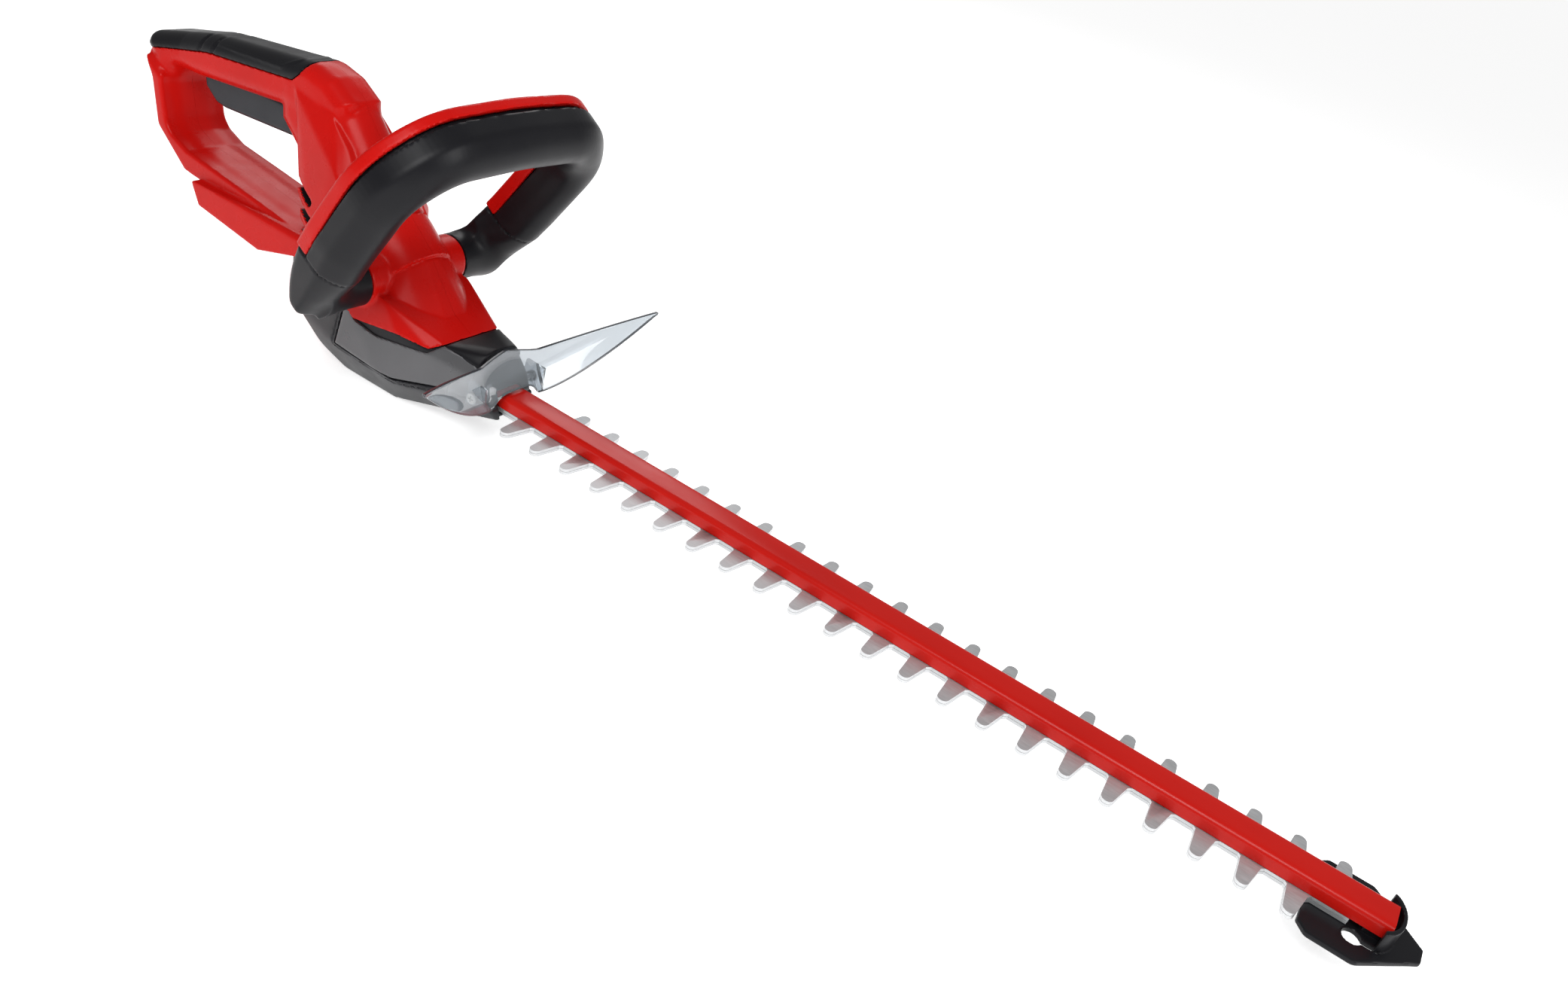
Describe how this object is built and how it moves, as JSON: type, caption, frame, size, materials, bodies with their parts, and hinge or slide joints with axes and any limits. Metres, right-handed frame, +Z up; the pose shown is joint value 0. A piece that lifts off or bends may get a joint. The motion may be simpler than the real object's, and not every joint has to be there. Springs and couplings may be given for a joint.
{
  "type": "hedge trimmer",
  "caption": "Cordless hedge trimmer with rear D-handle, leaning bail front handle, clear hand guard and a long reciprocating two-sided cutter with a tip guard.",
  "frame": {"origin": "centre of the flat belly face that the tool rests on", "axes": "+X towards the tip of the cutter, +Y to the operator's left, +Z up, away from the belly"},
  "size_m": [0.961, 0.22, 0.2154],
  "materials": {
    "body_red": "moulded red housing plastic with a fine texture",
    "bar_red": "glossy red paint on the blade bar",
    "soft_black": "soft-touch black overmould, fine grain",
    "dark_plastic": "dark grey moulded plastic",
    "grey_plastic": "mid grey facetted plastic",
    "blade_steel": "ground steel with bright cut edges",
    "machine_steel": "plain machined steel",
    "zinc_plate": "zinc-plated screws and pins",
    "cast_aluminium": "die-cast aluminium",
    "brass": "brass",
    "copper_winding": "copper windings on a steel shaft",
    "fan_nylon": "natural nylon",
    "felt": "grease-soaked felt",
    "circuit_board": "green circuit board",
    "clear_guard": "clear polycarbonate"
  },
  "bodies": {
    "housing": {"base_shell": "grey_plastic", "battery_contact_1": "brass", "battery_contact_2": "brass", "battery_contact_block": "dark_plastic", "blade_bar": "bar_red", "blade_collar": "soft_black", "blade_screw_1": "zinc_plate", "blade_screw_2": "zinc_plate", "blade_screw_3": "zinc_plate", "blade_screw_4": "zinc_plate", "blade_screw_5": "zinc_plate", "blade_screw_6": "zinc_plate", "bottom_tray": "dark_plastic", "control_board": "circuit_board", "felt_seal": "felt", "front_handle": "soft_black", "front_switch": "dark_plastic", "gear_bearing_lower": "machine_steel", "gear_bearing_upper": "machine_steel", "gear_cover": "cast_aluminium", "gear_plate": "cast_aluminium", "grip_pad": "soft_black", "guard_screw_left": "zinc_plate", "guard_screw_right": "zinc_plate", "hand_guard": "clear_guard", "handle_screw_left": "zinc_plate", "handle_screw_right": "zinc_plate", "housing_left": "body_red", "housing_right": "body_red", "housing_screw_1": "zinc_plate", "housing_screw_2": "zinc_plate", "housing_screw_3": "zinc_plate", "housing_screw_4": "zinc_plate", "motor_can": "machine_steel", "motor_end_bell": "dark_plastic", "rear_switch": "dark_plastic", "switch_bar_pin_left": "zinc_plate", "switch_bar_pin_right": "zinc_plate", "switch_bar_spring": "machine_steel", "tip_guard": "dark_plastic", "tip_guard_screw": "zinc_plate", "trigger_pin": "zinc_plate", "trigger_spring": "machine_steel"},
    "upper_blade": {"upper_blade": "blade_steel"},
    "lower_blade": {"lower_blade": "blade_steel"},
    "drive_gear": {"drive_gear": "machine_steel"},
    "motor_rotor": {"rotor": "copper_winding", "motor_pinion": "brass", "cooling_fan": "fan_nylon"},
    "trigger": {"trigger": "dark_plastic"},
    "safety_switch_bar": {"safety_switch_bar": "body_red"}
  },
  "joints": [
    {"name": "upper_blade_slide", "type": "slide", "parent": "housing", "child": "upper_blade", "axis": [1, 0, 0], "range_m": [-0.00625, 0.00625]},
    {"name": "lower_blade_slide", "type": "slide", "parent": "housing", "child": "lower_blade", "axis": [1, 0, 0], "range_m": [-0.0063, 0.0063]},
    {"name": "gear_spin", "type": "hinge", "parent": "housing", "child": "drive_gear", "pos_m": [0.027, 0, 0.03], "axis": [0, 0, 1], "range_deg": [-90.5, 90.5]},
    {"name": "motor_spin", "type": "hinge", "parent": "housing", "child": "motor_rotor", "pos_m": [0, 0, 0.03], "axis": [0, 0, 1], "range_deg": [-362, 362]},
    {"name": "trigger_hinge", "type": "hinge", "parent": "housing", "child": "trigger", "pos_m": [-0.193, 0, 0.146], "axis": [0, -1, 0], "range_deg": [0, 5], "stiffness_Nm_per_rad": 0.6, "springref_deg": -11.46, "deforming": ["trigger_spring"]},
    {"name": "switch_bar_hinge", "type": "hinge", "parent": "housing", "child": "safety_switch_bar", "pos_m": [0.01517, 0, 0.1184], "axis": [0, 1, 0], "range_deg": [0, 1.5], "stiffness_Nm_per_rad": 3, "springref_deg": -3.44, "deforming": ["switch_bar_spring"]}
  ],
  "couplings": [
    {"joint": "lower_blade_slide", "follows": "upper_blade_slide", "ratio": -1},
    {"joint": "gear_spin", "follows": "upper_blade_slide", "rad_per_m": -251.33},
    {"joint": "motor_spin", "follows": "upper_blade_slide", "rad_per_m": 1005.3}
  ]
}
